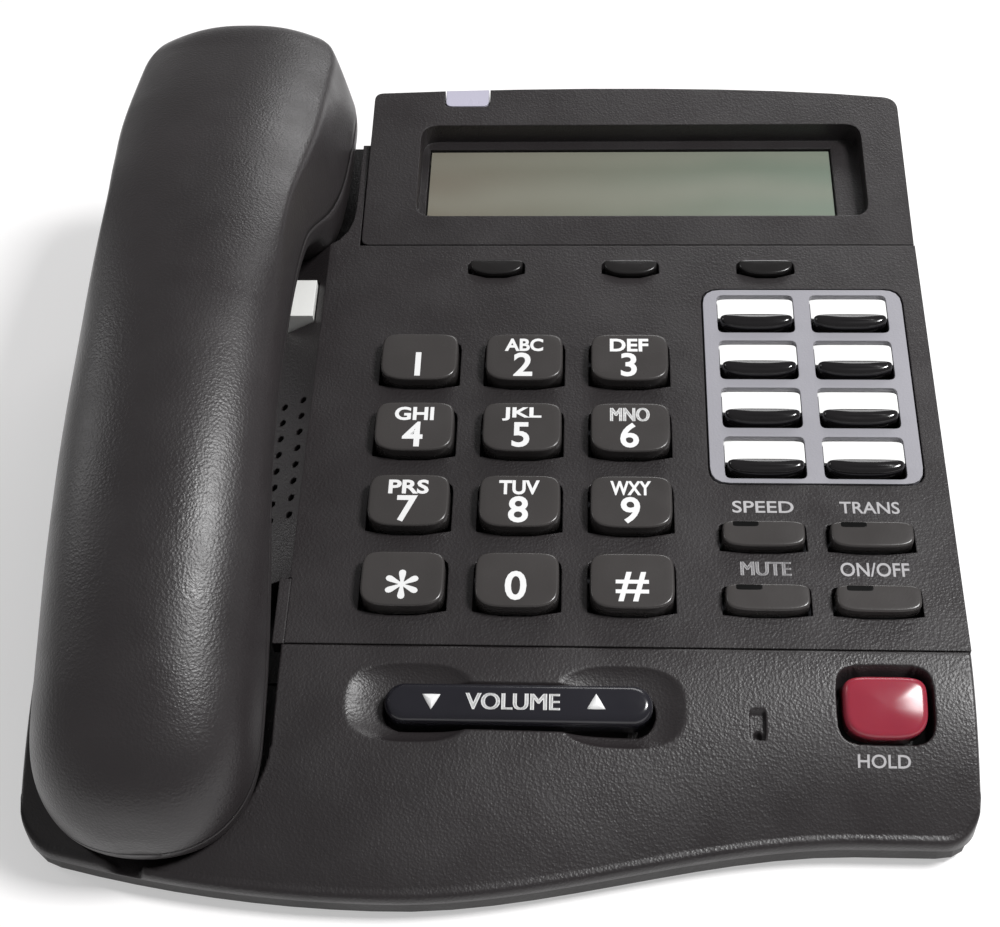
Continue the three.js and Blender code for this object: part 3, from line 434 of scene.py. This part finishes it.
frame_grey = moulded("frame_plastic", (0.30, 0.295, 0.325), 0.5, 0.02, cell=0.6, drift=0.05,
                     edge=0.25)
label_paper = moulded("label_paper", (0.86, 0.86, 0.85), 0.8, 0.01, cell=0.4, drift=0.02)
gloss_black = moulded("gloss_key_plastic", (0.010, 0.009, 0.010), 0.13, 0.0, cell=0.5)
dress("line_key_frame", frame_grey)
dress("label_sheet", label_paper)
LINE_CAP = (16.2, 0.9, 2.7)
LINE_COLUMNS = (54.6, 75.3)
LINE_FRONT = 40.4
LINE_PITCH = 12.95
for number in range(8):
    x = LINE_COLUMNS[number % 2]
    front = LINE_FRONT + (3 - number // 2) * LINE_PITCH
    outline = cap_outline(16.8, 2.75, 2.75, back_square=9, front_square=60)
    rings = cap_rings(outline, -0.06, below=1.2, shoulder=0.03)
    rings = rings + np.array([x, front + 6.4, 0])
    label = closed_skin(f"label_{number + 1}", on_deck(rings), label_paper)
    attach(label, "base")
    outline = cap_outline(*LINE_CAP, back_square=4, front_square=2.7)
    rings = cap_rings(outline, 2.0, below=3.0, shoulder=1.2, dish=-0.3, taper=0.1)
    rings = rings + np.array([x, front + LINE_CAP[2], 0])
    cap = closed_skin(f"cap_line_{number + 1}", on_deck(rings), gloss_black)
    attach(cap, f"line_key_{number + 1}")
    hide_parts(f"line_key_{number + 1}")

# ---- display ------------------------------------------------------------------------------
# A separate moulding with the deck's grain stands over the back of the deck. The liquid
# crystal lies deep in its recess behind a clear window; the lamp on its top edge is frosted.
# The glass turns from warm grey at its left end to green at its right, with a painted sheen.

lcd_glass = moulded("lcd_glass", (0.20, 0.205, 0.16), 0.35, 0.0, drift=0.1)
lcd_tree = lcd_glass.node_tree
# Wave bands across the glass carry a painted reflection: the lamps' sheen, laid into its colour.
bands = texture(lcd_tree, "ShaderNodeTexWave", 26, Distortion=3.0, Detail=1.0)
bands.bands_direction = "Y"
along = lcd_tree.nodes.new("ShaderNodeSeparateXYZ")
lcd_place = lcd_tree.nodes.new("ShaderNodeTexCoord")
lcd_tree.links.new(lcd_place.outputs["Object"], along.inputs["Vector"])
shift = lcd_tree.nodes.new("ShaderNodeMapRange")
shift.inputs["From Min"].default_value = -0.02
shift.inputs["From Max"].default_value = 0.075
lcd_tree.links.new(along.outputs["X"], shift.inputs["Value"])
hue = lcd_tree.nodes.new("ShaderNodeMix")
hue.data_type = "RGBA"
hue.inputs["A"].default_value = (0.205, 0.185, 0.145, 1)
hue.inputs["B"].default_value = (0.19, 0.235, 0.185, 1)
lcd_tree.links.new(shift.outputs["Result"], hue.inputs["Factor"])
# Paler colour mixed in along the bands is painted sheen, not a tone of the glass itself.
painted_sheen = lcd_tree.nodes.new("ShaderNodeMix")
painted_sheen.data_type = "RGBA"
painted_sheen.inputs["B"].default_value = (0.28, 0.28, 0.23, 1)
lcd_tree.links.new(hue.outputs["Result"], painted_sheen.inputs["A"])
sheen_share = lcd_tree.nodes.new("ShaderNodeMath")
sheen_share.operation = "MULTIPLY"
sheen_share.inputs[1].default_value = 0.35
lcd_tree.links.new(bands.outputs["Fac"], sheen_share.inputs[0])
lcd_tree.links.new(sheen_share.outputs["Value"], painted_sheen.inputs["Factor"])
lcd_tree.links.new(painted_sheen.outputs["Result"],
                   lcd_tree.nodes["Principled BSDF"].inputs["Base Color"])
lamp_plastic = moulded("lamp_plastic", (0.47, 0.455, 0.55), 0.3, 0.01, cell=0.6, drift=0.04,
                       edge=0.4)
window_plastic = bpy.data.materials.new("window_plastic")
window_plastic.use_nodes = True
window_shader = window_plastic.node_tree.nodes["Principled BSDF"]
window_shader.inputs["Base Color"].default_value = (0.02, 0.02, 0.02, 1)
window_shader.inputs["Roughness"].default_value = 0.08
window_shader.inputs["Alpha"].default_value = 0.05
dress("display_housing", housing_plastic, 24)
dress("lcd_module", lcd_glass)
dress("message_lamp", lamp_plastic)
dress("display_window", window_plastic)

# ---- front panel --------------------------------------------------------------------------
# The sloping apron under the keys is a moulding of its own with the deck's grain. It has
# openings for the volume rocker and the hold key, two finger scoops, the microphone's slot
# and, at its left end, the trough for the mouthpiece. It butts on the upper housing.

SEAM = np.array([-57.0, 25.4])
LIP_HEIGHT = 7.5
VOLUME = np.array([4.2, -69.2])
HOLD = np.array([74.6, -67.6])
SLOT = np.array([50.2, -71.2])
HANDSET_ORIGIN = np.array([-66.0, -97.0, 5.0])
TROUGH = 22.7  # half the trough's width, and the radius of its front end
TROUGH_GAP = 0.35


def lip(x):
    """Where the front edge runs: it stands out in the middle and draws back to both sides."""
    s = np.clip((70 - x) / 90, 0, 1)
    right = -89.6 - 13.53 * s * s * (3 - 2 * s)
    return np.where(x < -20, -103.13 + 9.5 * ((-20 - x) / 70) ** 2, right)


def panel_height(x, y):
    """The apron's height: it leaves the seam at a slope and steepens on its way to the lip."""
    t = np.clip((SEAM[0] - y) / (SEAM[0] - lip(x)), 0, 1.2)
    return SEAM[1] - (SEAM[1] - LIP_HEIGHT) * (0.45 * t + 0.55 * t * t)


def on_panel(points, x, y):
    """Points across, up the apron and out of it, set down on it at x, y and tilted with it."""
    tilt = np.arctan2(panel_height(x, y + 0.5) - panel_height(x, y - 0.5), 1.0)
    u, v, w = np.moveaxis(np.asarray(points, float), -1, 0)
    turned = np.stack([u, v * np.cos(tilt) - w * np.sin(tilt),
                       v * np.sin(tilt) + w * np.cos(tilt)], -1)
    return (turned + (x, y, panel_height(x, y))) * MM


def pit(x, y, centre, half, square, slope=0.35):
    """One inside a superellipse about centre, none outside, eased over slope millimetres."""
    reach = (np.abs((x - centre[0]) / half[0]) ** square
             + np.abs((y - centre[1]) / half[1]) ** square) ** (1 / square)
    inside = np.clip((1 - reach) * min(half) / slope + 0.5, 0, 1)
    return inside * inside * (3 - 2 * inside)


def pill_pit(x, y, centre, straight, radius, slope=0.35):
    """One inside a slot with round ends, none outside, eased over slope millimetres."""
    away = np.hypot(np.clip(np.abs(x - centre[0]) - straight, 0, None), y - centre[1])
    inside = np.clip((radius - away) / slope + 0.5, 0, 1)
    return inside * inside * (3 - 2 * inside)


def panel_skin():
    """Loops across the apron, from the seam over the face, round the lip, and back under it.
    The face is panel_height less two finger scoops, the openings and slots, and the trough,
    whose bed slopes with the handset. Columns stand closer where a wall drops away."""
    steps = [np.linspace(-92, -84.5, 24), np.arange(-84, -60, 0.8), np.arange(-59.6, -42, 0.35),
             np.arange(-41.5, -23, 0.6), np.arange(-23, -16, 0.25), np.arange(-16, 25, 0.6),
             np.arange(25, 31.5, 0.25), np.arange(32, 48.3, 0.6), np.arange(48.4, 52.2, 0.16),
             np.arange(52.8, 64.6, 0.7), np.arange(65, 70, 0.22), np.arange(70, 79.5, 0.6),
             np.arange(79.5, 84.8, 0.22), np.linspace(85, 92, 24)]
    x = np.concatenate(steps)[:, None]
    corner = np.clip(np.abs(x) - 85, 0, 7)
    edge = lip(x) + 7 - np.sqrt(np.clip(49 - corner ** 2, 0, None))
    share = np.concatenate([np.linspace(0, 2.4, 6), np.arange(2.7, 20.4, 0.22),
                            np.linspace(20.6, 24, 6)])[None, :]
    far = np.linspace(0.03, 1, 44)[None, :]
    roll = 1.6
    y = np.concatenate([np.broadcast_to(-57.2 - share, (len(x), share.shape[1])),
                        -81.2 + far * (edge + roll + 81.2)], 1)
    z = panel_height(x, y)
    for centre in (VOLUME[0] - 21, VOLUME[0] + 19.5):
        bowl = np.abs((x - centre) / 12.4) ** 2.8 + np.abs((y - VOLUME[1] - 0.6) / 7.7) ** 2.8
        z = z - 2.0 * np.clip(1 - bowl, 0, 1) ** 0.8
    side = np.clip(np.abs(x) - 91.2, 0, 0.8)
    z = z - (0.8 - np.sqrt(0.64 - side ** 2))
    z = z - 7.0 * pill_pit(x, y, VOLUME, 21.9, 4.4)
    z = z - 8.0 * pit(x, y, HOLD + (0.1, 0.55), (9.1, 7.0), 4.5)
    z = z - 1.3 * pit(x, y, SLOT, (1.5, 2.6), 6, 0.25)
    z = z - 1.5 * pit(x, y, SLOT - (0, 1.5), (0.75, 0.75), 2, 0.25)
    bend = np.clip(HANDSET_ORIGIN[1] - TROUGH_GAP + TROUGH - y, 0, TROUGH)
    wall = np.sqrt(np.clip(TROUGH ** 2 - bend ** 2, 0, None)) - np.abs(x - HANDSET_ORIGIN[0])
    inside = np.clip(wall / 0.9, 0, 1)
    bed = HANDSET_ORIGIN[2] - TROUGH_GAP + (y - HANDSET_ORIGIN[1]) * np.tan(DECK_TILT)
    z = z - inside * np.clip(z - np.clip(bed, 6.4, 60), 0, None)
    turn = np.linspace(0, np.pi / 2, 7)[None, 1:]
    last = z[:, -1:]
    drop = np.minimum(roll, np.clip(last - 6.3, 0.05, None))
    rolled_y = y[:, -1:] - roll * np.sin(turn)
    rolled_z = last - drop * (1 - np.cos(turn))
    under = pit(x, y, VOLUME, (29, 7.2), 6, 2) + pit(x, y, HOLD, (11, 9.4), 6, 2)
    under = 9.5 * under.clip(0, 1)
    limit = np.where(y < edge + 4, 6.0, 4.4)
    inner = np.clip(np.minimum(panel_height(x, y) - 2.6 - under, z - 1.7), limit, None)
    inner = np.where(np.abs(x) > 89.7, 6.0, np.minimum(inner, z - 0.25))
    foot_y = np.concatenate([rolled_y[:, -1:], rolled_y[:, -1:] + 0.02, y[:, ::-1][:, ::2]], 1)
    foot_z = np.concatenate([np.full_like(x, 6.02), np.full_like(x, 6.0),
                             inner[:, ::-1][:, ::2]], 1)
    loop_y = np.concatenate([y, rolled_y, foot_y], 1)
    loop_z = np.concatenate([z, rolled_z, foot_z], 1)
    return np.stack([np.broadcast_to(x, loop_y.shape), loop_y, loop_z], -1) * MM


panel = closed_skin("apron", panel_skin(), housing_plastic)
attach(panel, "base")
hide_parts("front_panel")

# ---- trough ledge ---------------------------------------------------------------------------
# A narrow strip of the housing's plastic carries the deck's surface on towards the grip, along
# the trough's right edge. It is moulded on the upper housing: a squared bar, flat on all sides.

across_ledge = cap_outline(2.44, 1.97, 1.97, back_square=25, front_square=25, around=40)
along_ledge = np.concatenate([[0.05], np.linspace(0.1, 14.75, 16), [14.8]])[:, None]
ledge_rings = np.stack(np.broadcast_arrays(across_ledge[:, 0] - 43.95, along_ledge,
                                           across_ledge[:, 1] - 2.0), -1)
ledge = closed_skin("trough_ledge", on_deck(ledge_rings), housing_plastic)
ledge.data.polygons.foreach_set("use_smooth", [False] * len(ledge.data.polygons))
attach(ledge, "base")

# ---- volume rocker --------------------------------------------------------------------------
# One polished blue-black pill across both finger scoops, which tips about its middle. A white
# word stands on it between an arrow down and an arrow up.


def pill_outline(width, depth, around=96):
    """A straight bar with half circles at both ends."""
    turn = np.linspace(0, 2 * np.pi, around, endpoint=False)
    flat = np.sign(np.round(np.cos(turn), 9)) * (width - depth) / 2
    return np.stack([flat + np.cos(turn) * depth / 2, np.sin(turn) * depth / 2], -1)


rocker_plastic = moulded("rocker_plastic", (0.013, 0.0125, 0.017), 0.2, 0.004, cell=0.5)
ROCKER_RISE = 2.5
rings = cap_rings(pill_outline(52.0, 8.0), ROCKER_RISE, below=3.0, shoulder=1.6, dish=-0.2,
                  taper=0.1)
rocker = closed_skin("rocker", on_panel(rings, *VOLUME), rocker_plastic)
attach(rocker, "volume_rocker")
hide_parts("volume_rocker")


def on_rocker(points):
    """Points on the rocker, which lies on the apron."""
    return on_panel(points, *VOLUME)


def arrow(name, x, turned):
    """A triangular mark with rounded corners, pointing up if turned is 1 and down if it is -1:
    its distance from the middle falls off from the corners as a triangle's does, softened."""
    turn = np.linspace(0, 2 * np.pi, 48, endpoint=False)
    third = np.mod(turn - np.pi / 2 + np.pi / 3, 2 * np.pi / 3) - np.pi / 3
    reach = 1.05 / np.cos(np.pi / 3 - np.abs(third)) ** 0.94
    mark = np.stack([x + reach * np.cos(turn), turned * reach * np.sin(turn) - 0.25 * turned], -1)
    rings = np.array([np.column_stack([mark, np.full(48, ROCKER_RISE + lift)])
                      for lift in (0, 0.25)])
    piece = closed_skin(name, on_rocker(rings), ink)
    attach(piece, "volume_rocker")


lettering("word_volume", "VOLUME", (-10.1, 8.1, -1.65, 1.65), 2.72, on_rocker,
          "volume_rocker")
arrow("arrow_down", -16.7, -1)
arrow("arrow_up", 15.0, 1)

# ---- hold key -----------------------------------------------------------------------------
# A red pillow of slightly translucent plastic in a deep opening at the right, with its name
# in grey print on the apron in front of it.

hold_plastic = moulded("hold_plastic", (0.30, 0.028, 0.05), 0.2, 0.0, drift=0.12)
hold_shader = hold_plastic.node_tree.nodes["Principled BSDF"]
hold_shader.inputs["Subsurface Weight"].default_value = 0.3
hold_shader.inputs["Subsurface Scale"].default_value = 0.003
outline = cap_outline(16.4, 5.8, 6.6, back_square=5, front_square=3.0)
rings = cap_rings(outline, 1.6, below=3.8, shoulder=1.3, dish=-0.6, taper=0.2)
hold = closed_skin("hold_pillow", on_panel(rings, *HOLD), hold_plastic)
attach(hold, "hold_key")
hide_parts("hold_key")


def under_hold(points):
    """Points on the apron in front of the hold key."""
    return on_panel(points, 74.0, -76.9)


lettering("word_hold", "HOLD", (-5.0, 5.0, -1.25, 1.35), 0.0, under_hold, "base", 0.012, grey_ink)

# ---- handset ------------------------------------------------------------------------------
# Two mouldings with the deck's grain, an upper shell and a lower cover, meet on a parting
# line all round. The grip arches from the round mouthpiece in front to the earpiece, whose
# top has a creased edge. The lines run back from the front tip, in millimetres.

HANDSET_LENGTH = 204.6


def on_handset(points):
    """Points across, along and out of the handset, in millimetres, tilted as the deck is and
    moved to the handset's front tip; metres come back."""
    return on_deck(points) + (HANDSET_ORIGIN - DECK_ORIGIN) * MM


def curve_through(knots, at):
    """A smooth curve through [at, value] knots: cubic pieces whose slope at each knot is
    that from the knot before to the knot after."""
    x, y = np.array(knots, float).T
    ahead = np.append(np.arange(1, len(x)), len(x) - 1)
    behind = np.append(0, np.arange(len(x) - 1))
    slope = (y[ahead] - y[behind]) / (x[ahead] - x[behind])
    i = np.clip(np.searchsorted(x, at, side="right") - 1, 0, len(x) - 2)
    width = x[i + 1] - x[i]
    t = np.clip((at - x[i]) / width, 0, 1)
    rise = (3 - 2 * t) * t * t
    return (y[i] + (y[i + 1] - y[i]) * rise + slope[i] * width * t * (1 - t) ** 2
            - slope[i + 1] * width * t * t * (1 - t))


TOP_LINE = ((0, 11.5), (0.5, 16), (3, 23), (8, 28.5), (16, 33.5), (28, 38.5), (48, 44.5),
            (75, 49.7), (103, 51.5), (131, 49.5), (165, 43.4), (189, 36.8), (200, 33.2), (206, 27))
BOTTOM_LINE = ((0, 9), (0.5, 6.2), (3, 3), (8, 0.8), (13, 0.1), (18, 0), (40, 0), (45, 0.4),
               (49, 1.8), (54, 5.4), (64, 18), (76, 26), (103, 28), (130, 26), (140, 18.5),
               (146, 8.4), (151, 2.2), (155, 0.4), (159, 0), (192, 0), (197, 0.8), (201, 2.8),
               (206, 10))
PARTING_LINE = ((0, 10), (20, 15.5), (35, 20.5), (50, 27), (75, 35), (103, 37.5), (130, 35),
                (150, 23), (170, 17), (190, 14.5), (206, 13))
WIDTH_LINE = ((0, 21.5), (30, 21.9), (50, 21.6), (75, 21), (103, 21), (130, 22), (145, 24),
              (158, 25.5), (170, 25.9), (190, 25.9), (206, 25.9))
CREASE = 0.87  # where the crease runs, as a share of half the width
CREASE_SHARE = 0.68  # the share of a half section's points that lie on its top face
CROWN = 0.2  # how far the crease lies below the top line, as a share of the height


def half_width(u):
    """Half the handset's width: a round nose, the grip, and a squarer tail."""
    nose, tail = 21.5, 20.0
    full = curve_through(WIDTH_LINE, u)
    front = np.clip(1 - (np.clip(nose - u, 0, None) / nose) ** 2.4, 0.02, 1) ** (1 / 2.4)
    back = np.clip(u - HANDSET_LENGTH + tail, 0, None) / tail
    return full * front * np.clip(1 - back ** 2.6, 0.02, 1) ** (1 / 2.6)


def handset_part(name, upper):
    """Half sections standing on the parting line, strung along the handset. In front each is
    half a superellipse. Towards the earpiece the upper one turns into a crowned top face that
    ends in a crease at CREASE of the width, and a side that leans out to the parting line."""
    share = 0.5 - 0.5 * np.cos(np.linspace(0, np.pi, 170))
    u = (0.1 + (HANDSET_LENGTH - 0.2) * share)[:, None]
    over = np.linspace(-1, 1, 97)[None, :]
    middle = curve_through(PARTING_LINE, u) + (0.18 if upper else -0.18)
    reach = curve_through(TOP_LINE if upper else BOTTOM_LINE, u) - middle
    settle = np.clip((u - 85) / 65, 0, 1)
    power = 2.2 + 1.0 * settle ** 2 * (3 - 2 * settle)
    out = np.abs(over)
    x = np.sin(out * np.pi / 2) ** (2 / power)
    w = np.cos(out * np.pi / 2) ** (2 / power)
    if upper:
        top = np.clip(out / CREASE_SHARE, 0, 1)
        side = np.clip((out - CREASE_SHARE) / (1 - CREASE_SHARE), 0, 1)
        creased_x = CREASE * top + (1 - CREASE) * side ** 0.8
        creased_w = 1 - CROWN * top ** 2.6 - (1 - CROWN) * side
        blend = np.clip((u - 100) / 45, 0, 1)
        blend = blend ** 2 * (3 - 2 * blend)
        x = x * (1 - blend) + creased_x * blend
        w = w * (1 - blend) + creased_w * blend
    rings = np.stack([half_width(u) * x * np.sign(over), np.broadcast_to(u, x.shape),
                      middle + reach * w], -1)
    part = closed_skin(name, on_handset(rings), housing_plastic)
    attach(part, "handset")
    return part


shell = handset_part("handset_upper", True)
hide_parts("handset_shell")
cover = handset_part("handset_lower", False)
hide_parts("handset_cover", "handset_socket")
